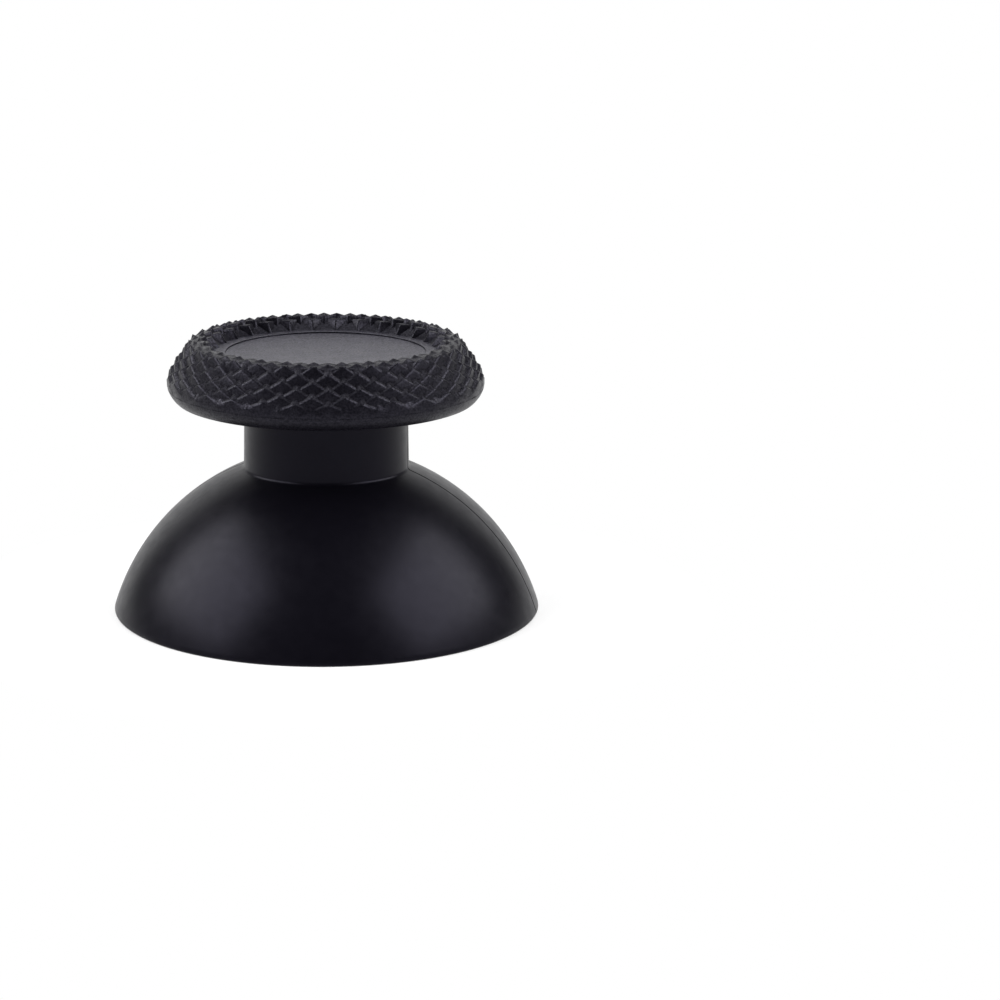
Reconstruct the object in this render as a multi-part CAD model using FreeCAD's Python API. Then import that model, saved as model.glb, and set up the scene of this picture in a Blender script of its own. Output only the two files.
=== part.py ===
import FreeCAD, Part
import math
import os

# Thumbstick cap of a game controller. All sizes are in millimetres.
# The cap stands on the rim of its dome: z = 0 is the rim's face and Z is the cap's axis.
# X lies in the parting plane of the mould, and the socket's flats, two bridges of the hub
# and two ribs line up with it.
# Two shots of plastic make the cap. The hard body is the dome, the stem, the hub with its
# ribs and socket, and the head plate. The soft grip is moulded over the head plate and is
# the knurled ring with the finger dish inside it.

# Dome
rim_radius = 12.0
dome_rise = 8.98              # from the rim's face to the top of the dome's sphere
dome_wall = 1.05
rim_bevel = 0.1               # on both edges of the rim's face

# Socket for the shaft of the stick: a round hole with two flats
socket_diameter = 3.8
socket_across_flats = 2.8
socket_roof = 2.4             # from the blind end up to the top of the head plate
socket_lead_in = 0.15         # bevel round the mouth

# Hub: the socket's tube, four slots round it and the outer ring, seen from below
tube_wall = 0.85
tube_proud = 0.25             # the tube's face stands this far below the ring's face
slot_width = 1.05
slot_count = 4
slot_bridge = 1.05            # web left between two slots
slot_roof = 1.9               # from the blind end up to the top of the head plate
hub_wall = 0.65
hub_recess = 4.8              # from the rim's face up to the ring's face
hub_root_bevel = 0.3
hub_face_bevel = 0.1

# Stem between the dome and the head
stem_wall = 0.76              # outside the slots, at the top of the stem
stem_flare = 0.06             # the foot is wider than the top by this much, for the mould
stem_length = 4.0
stem_foot_bevel = 0.2
stem_top_bevel = 0.15

# Head plate, which carries the grip
plate_radius = 8.1
plate_thickness = 1.1

# Ribs between the hub and the dome
rib_count = 8
rib_thickness = 0.55
rib_root_rise = 0.1           # the free edge leaves the hub this far above the ring's face
rib_rim_gap = 0.7             # from the outer end of a rib to the inner edge of the rim
rib_end_step = 0.25           # height of the square outer end
rib_bow = 0.75                # bow of the free edge towards the dome

# Mark of the ejector pin on the inner wall
ejector_diameter = 3.85
ejector_place_radius = 7.6
ejector_place_angle = 22.5    # from +X, midway between two ribs
ejector_depth = 0.04

# Grip: the meridian runs from the lip up to the belly, over the shoulder to the crest, and
# down the inner wall to the ledge round the dish
lip_width = 0.2               # beyond the plate's edge
lip_drop = 0.1                # below the plate's underside
belly_bulge = 0.56            # beyond the lip
belly_rise = 1.15             # above the lip
shoulder_width = 1.72         # from the belly in to the crest
shoulder_rise = 2.36          # from the belly up to the crest
shoulder_fullness = 0.32      # 0 is a straight bevel, 0.55 a quarter round
inner_wall_width = 1.36       # from the crest in to the ledge
inner_wall_drop = 0.86        # from the crest down to the ledge
ledge_width = 0.3             # at its narrowest
dish_step = 0.08              # from the ledge down to the edge of the dish
dish_sag = 0.22               # from the edge of the dish down to its middle

# Knurl: staggered rows of studs. Three ridges run from each tip: one up to the foot of the
# stud two rows above, and two down to the flanks of the studs beside it. They part two
# small upper faces and a large lower one. The tips of one row stand on the crest, and below
# the last row, which faces the dish, a flat recess parts each stud from the next.
stud_count = 30               # round each row
crest_row = 8                 # counted from 0 where the knurl begins
inner_row_count = 2           # past the crest
row_grading = 1.1             # up to the crest: 1 is even, more crowds rows towards the belly
inner_row_share = 0.24        # of the inner wall, from one row to the next
stud_height = 0.25
knurl_start = 0.72            # above the lip
knurl_run_out = 0.04          # depth of the knurl where it begins on the smooth band
ledge_scallop = 0.15          # the recesses reach this far out beyond the ledge's edge
meridian_samples = 400        # up to the crest, and again past it

# Radii, worked out from the socket outwards
socket_radius = socket_diameter / 2
tube_radius = socket_radius + tube_wall
slot_outer_radius = tube_radius + slot_width
hub_radius = slot_outer_radius + hub_wall
stem_top_radius = slot_outer_radius + stem_wall
stem_foot_radius = stem_top_radius + stem_flare

# The dome's sphere, and heights worked out from the rim upwards
dome_radius = (rim_radius ** 2 + dome_rise ** 2) / (2 * dome_rise)
dome_centre = dome_rise - dome_radius
inner_dome_radius = dome_radius - dome_wall
inner_rim_radius = math.sqrt(inner_dome_radius ** 2 - dome_centre ** 2)
tube_face = hub_recess - tube_proud
stem_foot = dome_centre + math.sqrt(dome_radius ** 2 - stem_foot_radius ** 2)
plate_underside = stem_foot + stem_length
plate_top = plate_underside + plate_thickness

# The grip's meridian, from the plate outwards and upwards
lip_radius = plate_radius + lip_width
lip_height = plate_underside - lip_drop
belly_radius = lip_radius + belly_bulge
belly_height = lip_height + belly_rise
crest_radius = belly_radius - shoulder_width
crest_height = belly_height + shoulder_rise
ledge_outer_radius = crest_radius - inner_wall_width
ledge_height = crest_height - inner_wall_drop
dish_radius = ledge_outer_radius - ledge_width
dish_edge = ledge_height - dish_step

# The knurl's net: half pitches round the axis, and rows up the meridian. A stud is 1 high at
# its tip and falls away by 1 a row, and by 2 for each half pitch aside on its upper faces.
last_row = crest_row + inner_row_count
net_end = last_row + 1
net_floor = -0.25             # where the outlines of three studs meet
recess_foot = (0, 1 - net_floor)
recess_side = (-net_floor / 2, 1)
flank_top = (0.75, -0.25)
flank = [(0.75, -0.75), (0.25, -1.25), (0, -1)]
stud_side = [(0, 1), (0.25, 0.75), (0.25, 0.25), flank_top] + flank
stud_side_above_recess = [recess_foot] + stud_side[1:]
stud_side_beside_recess = [(0, 1), recess_side, flank_top] + flank

axis_foot = FreeCAD.Vector(0, 0, 0)
axis = FreeCAD.Vector(0, 0, 1)


def point(radius, height):
    """A point of the XZ half plane."""
    return FreeCAD.Vector(radius, 0, height)


def line(start, end):
    return Part.LineSegment(start, end).toShape()


def lines(corners):
    return [line(start, end) for start, end in zip(corners, corners[1:])]


def arc(start, middle, end):
    return Part.Arc(start, middle, end).toShape()


def on_sphere(sphere_radius, radius):
    """The point of a sphere round the dome's centre at a distance from the axis."""
    return point(radius, dome_centre + math.sqrt(sphere_radius ** 2 - radius ** 2))


def sphere_arc(sphere_radius, start_radius, end_radius):
    middle_radius = (start_radius + end_radius) / 2
    return arc(
        on_sphere(sphere_radius, start_radius),
        on_sphere(sphere_radius, middle_radius),
        on_sphere(sphere_radius, end_radius),
    )


def revolved(edges):
    """A closed outline of the XZ half plane, turned round the axis."""
    return Part.Face(Part.Wire(edges)).revolve(axis_foot, axis, 360)


def turned(shape, angle):
    copy = shape.copy()
    copy.rotate(axis_foot, axis, angle)
    return copy


def at_height(sphere_radius, height):
    """The point of a sphere round the dome's centre at a height above the rim's face."""
    return point(math.sqrt(sphere_radius ** 2 - (height - dome_centre) ** 2), height)


def body_blank():
    """The dome, the hub, the stem and the head plate as one turned shape."""
    dome_low = at_height(dome_radius, rim_bevel)
    dome_high = on_sphere(dome_radius, stem_foot_radius + stem_foot_bevel)
    inner_high = on_sphere(inner_dome_radius, hub_radius + hub_root_bevel)
    inner_low = at_height(inner_dome_radius, rim_bevel)
    hub_root = on_sphere(inner_dome_radius, hub_radius).z - hub_root_bevel
    stem_and_plate = [
        dome_high,
        point(stem_foot_radius, stem_foot + stem_foot_bevel),
        point(stem_top_radius, plate_underside - stem_top_bevel),
        point(stem_top_radius + stem_top_bevel, plate_underside),
        point(plate_radius, plate_underside),
        point(plate_radius, plate_top),
        point(0, plate_top),
        point(0, tube_face),
        point(tube_radius, tube_face),
        point(tube_radius, hub_recess),
        point(hub_radius - hub_face_bevel, hub_recess),
        point(hub_radius, hub_recess + hub_face_bevel),
        point(hub_radius, hub_root),
        inner_high,
    ]
    rim_face = [
        inner_low,
        point(inner_rim_radius + rim_bevel, 0),
        point(rim_radius - rim_bevel, 0),
        dome_low,
    ]
    edges = lines(rim_face)
    edges.append(sphere_arc(dome_radius, dome_low.x, dome_high.x))
    edges += lines(stem_and_plate)
    edges.append(sphere_arc(inner_dome_radius, inner_high.x, inner_low.x))
    return revolved(edges)


def rib():
    """One rib along +X, its upper edge buried in the middle of the dome's wall."""
    reach = inner_rim_radius - rib_rim_gap
    buried_radius = inner_dome_radius + dome_wall / 2
    root_radius = (slot_outer_radius + hub_radius) / 2
    root = point(hub_radius, hub_recess + rib_root_rise)
    end = on_sphere(inner_dome_radius, reach) - point(0, rib_end_step)
    chord = end - root
    across = FreeCAD.Vector(-chord.z, 0, chord.x).normalize()
    bowed = (root + end) * 0.5 + across * rib_bow
    outline = [
        line(point(root_radius, root.z), root),
        arc(root, bowed, end),
        line(end, on_sphere(buried_radius, reach)),
        sphere_arc(buried_radius, reach, root_radius),
        line(on_sphere(buried_radius, root_radius), point(root_radius, root.z)),
    ]
    plate = Part.Face(Part.Wire(outline)).extrude(FreeCAD.Vector(0, rib_thickness, 0))
    plate.translate(FreeCAD.Vector(0, -rib_thickness / 2, 0))
    return plate


def slot():
    """One kidney slot with round ends, beside +X."""
    middle_radius = (tube_radius + slot_outer_radius) / 2
    spare = math.asin((slot_bridge + slot_width) / 2 / middle_radius)
    first = spare
    last = 2 * math.pi / slot_count - spare
    centre = (first + last) / 2

    def at(radius, angle):
        return FreeCAD.Vector(radius * math.cos(angle), radius * math.sin(angle), hub_recess)

    def cap(angle, side):
        """The middle of a round end, half a slot width past the end's centre."""
        along = FreeCAD.Vector(-math.sin(angle), math.cos(angle), 0)
        return at(middle_radius, angle) + along * (side * slot_width / 2)

    outline = [
        arc(at(slot_outer_radius, first), at(slot_outer_radius, centre), at(slot_outer_radius, last)),
        arc(at(slot_outer_radius, last), cap(last, 1), at(tube_radius, last)),
        arc(at(tube_radius, last), at(tube_radius, centre), at(tube_radius, first)),
        arc(at(tube_radius, first), cap(first, -1), at(slot_outer_radius, first)),
    ]
    depth = plate_top - slot_roof - hub_recess
    return Part.Face(Part.Wire(outline)).extrude(axis * depth)


def flatted_circle(radius, half_flats, height):
    """A circle cut off by two flats parallel to X."""
    reach = math.sqrt(radius ** 2 - half_flats ** 2)
    right_low = FreeCAD.Vector(reach, -half_flats, height)
    right_high = FreeCAD.Vector(reach, half_flats, height)
    left_high = FreeCAD.Vector(-reach, half_flats, height)
    left_low = FreeCAD.Vector(-reach, -half_flats, height)
    return Part.Wire([
        arc(right_low, FreeCAD.Vector(radius, 0, height), right_high),
        line(right_high, left_high),
        arc(left_high, FreeCAD.Vector(-radius, 0, height), left_low),
        line(left_low, right_low),
    ])


def socket():
    """The hole for the shaft, blind at the top and bevelled at the mouth."""
    half_flats = socket_across_flats / 2
    depth = plate_top - socket_roof - tube_face
    hole = Part.Face(flatted_circle(socket_radius, half_flats, tube_face)).extrude(axis * depth)
    wide = flatted_circle(socket_radius + socket_lead_in, half_flats + socket_lead_in, tube_face)
    narrow = flatted_circle(socket_radius, half_flats, tube_face + socket_lead_in)
    return hole.fuse(Part.makeLoft([wide, narrow], True, True))


def ejector_mark():
    """A shallow round step that follows the inner wall of the dome."""
    angle = math.radians(ejector_place_angle)
    foot = FreeCAD.Vector(math.cos(angle), math.sin(angle), 0) * ejector_place_radius
    pin = Part.makeCylinder(ejector_diameter / 2, dome_rise, foot, axis)
    ball = Part.makeSphere(inner_dome_radius + ejector_depth, point(0, dome_centre))
    return pin.common(ball)


def stick_body():
    body = body_blank()
    for number in range(rib_count):
        body = body.fuse(turned(rib(), 360 / rib_count * number))
    for number in range(slot_count):
        body = body.cut(turned(slot(), 360 / slot_count * number))
    return body.cut(socket()).cut(ejector_mark()).removeSplitter()


def knurl_meridian():
    """Steps along the line that the tips of the studs lie on, from the belly to the ledge."""
    belly_curve_radius = (belly_rise ** 2 + belly_bulge ** 2) / (2 * belly_bulge)
    belly_centre = point(belly_radius - belly_curve_radius, belly_height)

    def belly(rise):
        """The point of the belly's arc at a height above the lip."""
        below = belly_rise - rise
        return belly_centre + point(math.sqrt(belly_curve_radius ** 2 - below ** 2), -below)

    start = belly(knurl_start)
    widest = belly(belly_rise)
    crest = point(crest_radius, crest_height)
    ledge = point(ledge_outer_radius, ledge_height)
    shoulder = Part.BezierCurve()
    shoulder.setPoles([
        widest,
        widest + point(0, shoulder_rise * shoulder_fullness),
        crest + point(shoulder_width * shoulder_fullness, 0),
        crest,
    ])
    inner_wall = Part.BezierCurve()
    inner_wall.setPoles([
        crest,
        crest - point(inner_wall_width * 0.35, 0),
        ledge + point(inner_wall_width * 0.3, inner_wall_drop * 0.5),
        ledge,
    ])
    lower = arc(start, belly((knurl_start + belly_rise) / 2), widest)
    outer = Part.Wire([lower, shoulder.toShape()]).discretize(Number=meridian_samples + 1)
    inner = inner_wall.toShape().discretize(Number=meridian_samples + 1)
    band = arc(point(lip_radius, lip_height), belly(knurl_start / 2), start)
    return outer + inner[1:], band


def row_step(row):
    """The step of the meridian on which a row of the net lies."""
    if row <= crest_row:
        share = (row / crest_row) ** row_grading
    elif row <= last_row:
        share = 1 + inner_row_share * (row - crest_row)
    else:
        last = 1 + inner_row_share * inner_row_count
        share = last + (2 - last) * (row - last_row) / (net_end - last_row)
    return round(share * meridian_samples)


def height_in_studs(column, row):
    """The knurl's height at a place on its net: the highest face of the studs round it."""
    heights = [net_floor]
    for tip_row in range(math.floor(row) - 1, min(math.floor(row) + 3, net_end)):
        for tip_column in range(math.floor(column) - 1, math.floor(column) + 3):
            if (tip_row + tip_column) % 2 == 1:
                aside = abs(column - tip_column)
                above = row - tip_row
                heights.append(min(1 + above, 1 - 2 * aside - above))
    return max(heights)


def on_net(column, row):
    """A place of the net, moved to the first or last row if it lies past them."""
    return column % (2 * stud_count), min(max(row, 0), net_end)


def knurl_point(samples, column, row):
    """A corner of the knurl. The tips lie on the meridian and the rest below it."""
    height = height_in_studs(column, row)
    if row == 0:
        place = samples[0] - point(knurl_run_out, 0)
    elif row == net_end:
        place = samples[-1] + point(ledge_scallop * height / net_floor, 0)
    else:
        step = row_step(row)
        along = (samples[step + 1] - samples[step - 1]).normalize()
        outward = FreeCAD.Vector(along.z, 0, -along.x)
        place = samples[step] - outward * (stud_height * min(row, 1) * (1 - height))
    angle = math.pi / stud_count * column
    return FreeCAD.Vector(place.x * math.cos(angle), place.x * math.sin(angle), place.z)


def triangle(corners):
    return Part.Face(Part.makePolygon(corners + [corners[0]]))


def fan(samples, middle, outline):
    """Triangles from a place of the net to an outline beside it, without those past the net."""
    faces = []
    for first, second in zip(outline, outline[1:]):
        places = [middle, second, first]
        if len(set(places)) == 3 and len({row for column, row in places}) > 1:
            faces.append(triangle([knurl_point(samples, *place) for place in places]))
    return faces


def stud_faces(samples, tip_column, tip_row):
    """A stud: a fan from its tip to its outline."""
    side = stud_side
    if tip_row == last_row - 1:
        side = stud_side_above_recess
    if tip_row == last_row:
        side = stud_side_beside_recess
    left = [(-aside, above) for aside, above in reversed(side[:-1])]
    outline = [on_net(tip_column + aside, tip_row + above) for aside, above in side + left]
    return fan(samples, on_net(tip_column, tip_row), outline)


def recess_faces(samples, column):
    """The flat floor between two studs of the last row, under a stud of the row before it."""
    width = 1 - recess_side[0]
    outline = [(0.25, -0.25), (width, 1), (-width, 1), (-0.25, -0.25)]
    outline = [on_net(column + aside, last_row + above) for aside, above in outline]
    foot = on_net(column, last_row - 1 + recess_foot[1])
    return fan(samples, foot, outline)


def knurl_faces(samples):
    faces = []
    for row in range(last_row + 1):
        for column in range((row + 1) % 2, 2 * stud_count, 2):
            faces += stud_faces(samples, column, row)
    for column in range(last_row % 2, 2 * stud_count, 2):
        faces += recess_faces(samples, column)
    return faces


def knurl_edge(samples, row, first_column, steps):
    """The closed polygon in which the knurl begins or ends."""
    corners = []
    for column in range(first_column, 2 * stud_count, 2):
        for step in steps:
            corners.append(knurl_point(samples, *on_net(column + step, row)))
    return Part.makePolygon(corners + [corners[0]])


def ring_wire(radius, height):
    return Part.Wire([Part.makeCircle(radius, point(0, height), axis)])


def flat_ring(outer, inner):
    return Part.makeFace([outer, inner], "Part::FaceMakerBullseye")


def grip_cap():
    samples, band = knurl_meridian()
    start = samples[0]
    seat = Part.Wire([
        line(point(0, plate_top), point(plate_radius, plate_top)),
        line(point(plate_radius, plate_top), point(plate_radius, lip_height)),
        line(point(plate_radius, lip_height), point(lip_radius, lip_height)),
        band,
    ])
    dish_curve_radius = (dish_radius ** 2 + dish_sag ** 2) / (2 * dish_sag)
    dish_centre = dish_edge - dish_sag + dish_curve_radius
    halfway = point(dish_radius / 2, dish_centre)
    halfway.z -= math.sqrt(dish_curve_radius ** 2 - halfway.x ** 2)
    dish = Part.Wire([
        line(point(dish_radius, ledge_height), point(dish_radius, dish_edge)),
        arc(point(dish_radius, dish_edge), halfway, point(0, dish_edge - dish_sag)),
    ])
    faces = seat.revolve(axis_foot, axis, 360).Faces
    faces += dish.revolve(axis_foot, axis, 360).Faces
    first = knurl_edge(samples, 0, 1, (0, 0.75, 1, 1.25))
    last = knurl_edge(samples, net_end, net_end % 2, (-recess_side[0], 0, recess_side[0]))
    faces.append(flat_ring(ring_wire(start.x, start.z), first))
    faces.append(flat_ring(last, ring_wire(dish_radius, ledge_height)))
    faces += knurl_faces(samples)
    shell = Part.makeShell(faces)
    shell.sewShape()
    solid = Part.makeSolid(shell)
    if solid.Volume < 0:
        solid.reverse()
    return solid


def save(name, shape):
    """Writes one closed solid to its own file."""
    if len(shape.Solids) != 1 or not shape.isValid():
        raise ValueError(name + " isn't one valid solid")
    shape.Solids[0].exportStep("parts/" + name + ".step")
    print(name, "volume", round(shape.Volume, 2), "faces", len(shape.Faces))


os.makedirs("parts", exist_ok=True)
save("stick_body", stick_body())
save("grip_cap", grip_cap())
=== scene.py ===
import math
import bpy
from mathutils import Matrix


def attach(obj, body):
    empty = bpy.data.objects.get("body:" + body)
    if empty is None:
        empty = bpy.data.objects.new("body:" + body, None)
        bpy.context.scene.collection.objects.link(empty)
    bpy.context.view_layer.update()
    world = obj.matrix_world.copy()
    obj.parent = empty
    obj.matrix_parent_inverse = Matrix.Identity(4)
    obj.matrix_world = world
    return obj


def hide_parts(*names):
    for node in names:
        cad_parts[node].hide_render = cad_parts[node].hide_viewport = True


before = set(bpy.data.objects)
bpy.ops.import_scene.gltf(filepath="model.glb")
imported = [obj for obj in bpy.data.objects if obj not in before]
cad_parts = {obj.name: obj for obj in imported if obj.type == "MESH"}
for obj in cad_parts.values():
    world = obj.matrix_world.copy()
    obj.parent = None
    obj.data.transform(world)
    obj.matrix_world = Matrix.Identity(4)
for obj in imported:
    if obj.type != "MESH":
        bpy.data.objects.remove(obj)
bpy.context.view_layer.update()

from types import SimpleNamespace

import bmesh
import bpy
from bpy.props import FloatProperty, FloatVectorProperty, IntProperty, PointerProperty
from mathutils import Matrix, Vector

bl_info = {
    "name": "Thumbstick cap",
    "version": (1, 0, 0),
    "blender": (4, 5, 0),
    "location": "3D View > Sidebar > Thumbstick cap",
    "description": "Models a thumbstick cap: the moulded body and its knurled grip",
    "category": "Mesh",
}

# Pieces are drawn a thousand times life size, one unit to the millimetre, because the
# modelling tools' own thresholds suit larger things. A finished piece is reduced.
DRAWN_SCALE = 1000
AXIS = Vector((0, 0, 1))
ACROSS = Vector((0, 1, 0))

# Two places this near each other count as one, in drawn units: in the tests that select,
# in an outline, on a turned or combined shape, on the flat knurl and on the laid one
NEAR = 0.002
OUTLINE_WELD = 0.0005
SHAPE_WELD = 0.0002
STRIP_WELD = 0.001
KNURL_WELD = 0.002
CUT_THRESHOLD = 1e-5

# A piece with fewer faces than this has lost some on the way
FEWEST_FACES = 1000


def length(name, description, millimetres):
    """A size that a user may change, kept in metres."""
    return FloatProperty(
        name=name, description=description, default=millimetres / 1000,
        min=0.0, precision=6, unit="LENGTH",
    )


def count(name, description, default, least):
    return IntProperty(name=name, description=description, default=default, min=least)


def share(name, description, default):
    return FloatProperty(
        name=name, description=description, default=default, min=0.0, subtype="FACTOR",
    )


def colour(name, description, value):
    return FloatVectorProperty(
        name=name, description=description, default=value, size=3,
        min=0.0, max=1.0, subtype="COLOR",
    )


class BodySizes(bpy.types.PropertyGroup):
    """Sizes of the moulded body."""
    rim_radius: length("Rim radius", "Radius of the dome at the rim's face", 12.0)
    dome_rise: length("Dome rise", "From the rim up to the top of the dome's sphere", 8.98)
    dome_wall: length("Dome wall", "Thickness of the dome", 1.05)
    rim_rounding: length("Rim rounding", "Radius on both edges of the rim's face", 0.1)
    socket_radius: length("Socket radius", "Radius of the hole for the shaft", 1.9)
    socket_half_flats: length("Socket flats", "From the axis to each flat of the hole", 1.4)
    socket_roof: length("Socket roof", "From the end of the hole to the plate's top", 2.4)
    socket_lead_in: length("Socket lead-in", "Bevel round the mouth of the hole", 0.15)
    tube_wall: length("Tube wall", "Wall round the hole for the shaft", 0.85)
    tube_proud: length("Tube step", "The tube stands this far below the hub's face", 0.25)
    slot_width: length("Slot width", "Width of the kidney slots", 1.05)
    slot_bridge: length("Slot bridge", "Web left between two slots", 1.05)
    slot_roof: length("Slot roof", "From the blind end of a slot to the plate's top", 1.9)
    hub_wall: length("Hub wall", "Wall outside the slots", 0.65)
    hub_recess: length("Hub recess", "From the rim's face up to the hub's face", 4.8)
    hub_root: length("Hub root", "Fillet between the hub and the dome's inner wall", 0.4)
    edge_rounding: length("Edge rounding", "Radius on the hub's edges", 0.09)
    stem_wall: length("Stem wall", "Wall of the stem outside the slots, at its top", 0.76)
    stem_flare: length("Stem flare", "How much wider the stem is at its foot", 0.06)
    stem_length: length("Stem length", "From the dome up to the head plate", 4.0)
    stem_foot: length("Stem foot", "Fillet between the stem and the dome", 0.24)
    stem_top: length("Stem top", "Fillet between the stem and the head plate", 0.17)
    plate_radius: length("Plate radius", "Radius of the plate under the grip", 8.1)
    plate_thickness: length("Plate thickness", "Thickness of the head plate", 1.1)
    rib_thickness: length("Rib thickness", "Thickness of the ribs inside the dome", 0.55)
    rib_root_rise: length("Rib root rise", "How far above the hub's face they start", 0.1)
    rib_rim_gap: length("Rib gap", "From the end of a rib to the rim's inner edge", 0.7)
    rib_end_step: length("Rib end step", "Height of a rib's square outer end", 0.25)
    rib_bow: length("Rib bow", "Bow of a rib's free edge towards the dome", 0.75)
    mark_radius: length("Mark radius", "Radius of the ejector pin's mark", 1.925)
    mark_place: length("Mark place", "From the axis to the middle of that mark", 7.6)
    mark_depth: length("Mark depth", "Depth of the ejector pin's mark", 0.04)
    seam_width: length("Seam width", "Width of the mould's parting line", 0.14)


class GripSizes(bpy.types.PropertyGroup):
    """Sizes of the knurled grip."""
    lip_width: length("Lip width", "The lip stands this far beyond the plate", 0.2)
    lip_drop: length("Lip drop", "The lip hangs this far below the plate", 0.1)
    belly_bulge: length("Belly bulge", "The belly stands this far beyond the lip", 0.56)
    belly_rise: length("Belly rise", "From the lip up to the belly", 1.15)
    shoulder_width: length("Shoulder width", "From the belly in to the land", 1.25)
    shoulder_rise: length("Shoulder rise", "From the belly up to the land", 2.21)
    land_width: length("Land width", "From the shoulder in to the crest", 0.62)
    land_rise: length("Land rise", "From the shoulder up to the crest", 0.15)
    inner_wall_width: length("Inner wall width", "From the crest in to the ledge", 1.12)
    inner_wall_drop: length("Inner wall drop", "From the crest down to the ledge", 0.86)
    ledge_width: length("Ledge width", "Ledge round the dish", 0.3)
    dish_step: length("Dish step", "From the ledge down to the edge of the dish", 0.08)
    dish_sag: length("Dish sag", "From the edge of the dish down to its middle", 0.22)
    stud_height: length("Stud height", "From the pits of the knurl to the tips", 0.25)
    ridge_rounding: length("Ridge rounding", "Width of the round on a stud's ridges", 0.09)
    knurl_start: length("Knurl start", "From the lip up to the first row of studs", 0.72)
    knurl_run_out: length("Knurl run-out", "Depth of the knurl where it begins", 0.01)
    ledge_scallop: length("Ledge scallop", "How far the recesses go beyond the ledge", 0.36)


class CapLooks(bpy.types.PropertyGroup):
    """Counts, shares and colours."""
    rib_count: count("Ribs", "Ribs inside the dome", 8, least=3)
    slot_count: count("Slots", "Kidney slots of the hub", 4, least=2)
    stud_count: count("Studs", "Studs round each row", 30, least=12)
    land_row: count("Land row", "The row on the land's outer edge, an odd one", 7, least=3)
    row_grading: share("Row grading", "1 is even, more crowds rows to the belly", 1.1)
    inner_row_share: share("Inner rows", "From row to row, of the inner wall", 0.23)
    first_row: FloatProperty(
        name="First row", description="Below this row the knurl's foot is smooth",
        default=0.7, min=0,
    )
    fading_rows: FloatProperty(
        name="Fading rows", description="Over so many rows above the first the studs grow",
        default=1.6, min=0.5,
    )
    land_level: share("Land level", "Height of the smooth land, of the studs' height", 0.3)
    shoulder_fullness: share("Fullness", "0 is a bevel, 0.55 a quarter round", 0.32)
    mark_angle: FloatProperty(
        name="Mark angle", description="From +X to the ejector pin's mark",
        default=math.radians(22.5), subtype="ANGLE",
    )
    body_colour: colour("Body", "Hard black plastic", (0.0032, 0.0029, 0.0048))
    grip_colour: colour("Grip", "Soft black plastic", (0.0062, 0.0058, 0.0085))
    floor_colour: colour("Floor", "Pale floor", (0.9, 0.9, 0.9))


def drawn_sizes(context):
    """All sizes as they are drawn, with the radii and heights that follow from them."""
    s = SimpleNamespace()
    for group in (context.scene.cap_body, context.scene.cap_grip):
        for name in group.__annotations__:
            setattr(s, name, getattr(group, name) * DRAWN_SCALE)
    looks = context.scene.cap_looks
    for name in looks.__annotations__:
        setattr(s, name, getattr(looks, name))
    s.dome_radius = (s.rim_radius ** 2 + s.dome_rise ** 2) / (2 * s.dome_rise)
    s.dome_centre = Vector((0, 0, s.dome_rise - s.dome_radius))
    s.inner_radius = s.dome_radius - s.dome_wall
    s.inner_rim_radius = math.sqrt(s.inner_radius ** 2 - s.dome_centre.z ** 2)
    s.tube_radius = s.socket_radius + s.tube_wall
    s.tube_face = s.hub_recess - s.tube_proud
    s.slot_outer_radius = s.tube_radius + s.slot_width
    s.hub_radius = s.slot_outer_radius + s.hub_wall
    s.stem_top_radius = s.slot_outer_radius + s.stem_wall
    s.stem_foot_radius = s.stem_top_radius + s.stem_flare
    reach = math.sqrt(s.dome_radius ** 2 - s.stem_foot_radius ** 2)
    s.plate_underside = s.dome_centre.z + reach + s.stem_length
    s.plate_top = s.plate_underside + s.plate_thickness
    s.lip_radius = s.plate_radius + s.lip_width
    s.lip_height = s.plate_underside - s.lip_drop
    s.belly_radius = s.lip_radius + s.belly_bulge
    s.belly_height = s.lip_height + s.belly_rise
    s.land_radius = s.belly_radius - s.shoulder_width
    s.land_height = s.belly_height + s.shoulder_rise
    s.crest_radius = s.land_radius - s.land_width
    s.crest_height = s.land_height + s.land_rise
    s.ledge_radius = s.crest_radius - s.inner_wall_width
    s.ledge_height = s.crest_height - s.inner_wall_drop
    s.dish_radius = s.ledge_radius - s.ledge_width
    s.dish_edge = s.ledge_height - s.dish_step
    # Two rows of the net cross the land, two go down the inner wall, and one ends it.
    s.crest_row = s.land_row + 2
    s.last_row = s.crest_row + 2
    s.net_end = s.last_row + 1
    return s


# Modelling helpers

def profile_point(radius, height):
    """A point of the XZ half plane, in which the outlines of turned shapes are drawn."""
    return Vector((radius, 0, height))


def deselect_objects():
    if bpy.context.mode != "OBJECT":
        bpy.ops.object.mode_set(mode="OBJECT")
    bpy.ops.object.select_all(action="DESELECT")


def work_on(piece):
    """Makes a piece the only selected object, in object mode."""
    deselect_objects()
    piece.select_set(True)
    bpy.context.view_layer.objects.active = piece


def select_none(kind):
    """Selects by corner, edge or face from here on, and starts with nothing."""
    bpy.ops.mesh.select_mode(type=kind)
    bpy.ops.mesh.select_all(action="DESELECT")


def edit(piece):
    """Opens a piece in edit mode with nothing selected."""
    work_on(piece)
    bpy.ops.object.mode_set(mode="EDIT")
    select_none("VERT")


def select_corners(piece, test):
    """Adds the corners whose places pass a test to the selection."""
    mesh = bmesh.from_edit_mesh(piece.data)
    for corner in mesh.verts:
        if test(corner.co):
            corner.select_set(True)
    mesh.select_flush_mode()
    bmesh.update_edit_mesh(piece.data)


def select_edges(piece, test):
    """Selects the edges whose two ends pass a test together."""
    select_none("EDGE")
    mesh = bmesh.from_edit_mesh(piece.data)
    for line in mesh.edges:
        if test(line.verts[0].co, line.verts[1].co):
            line.select_set(True)
    mesh.select_flush_mode()
    bmesh.update_edit_mesh(piece.data)


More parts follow.
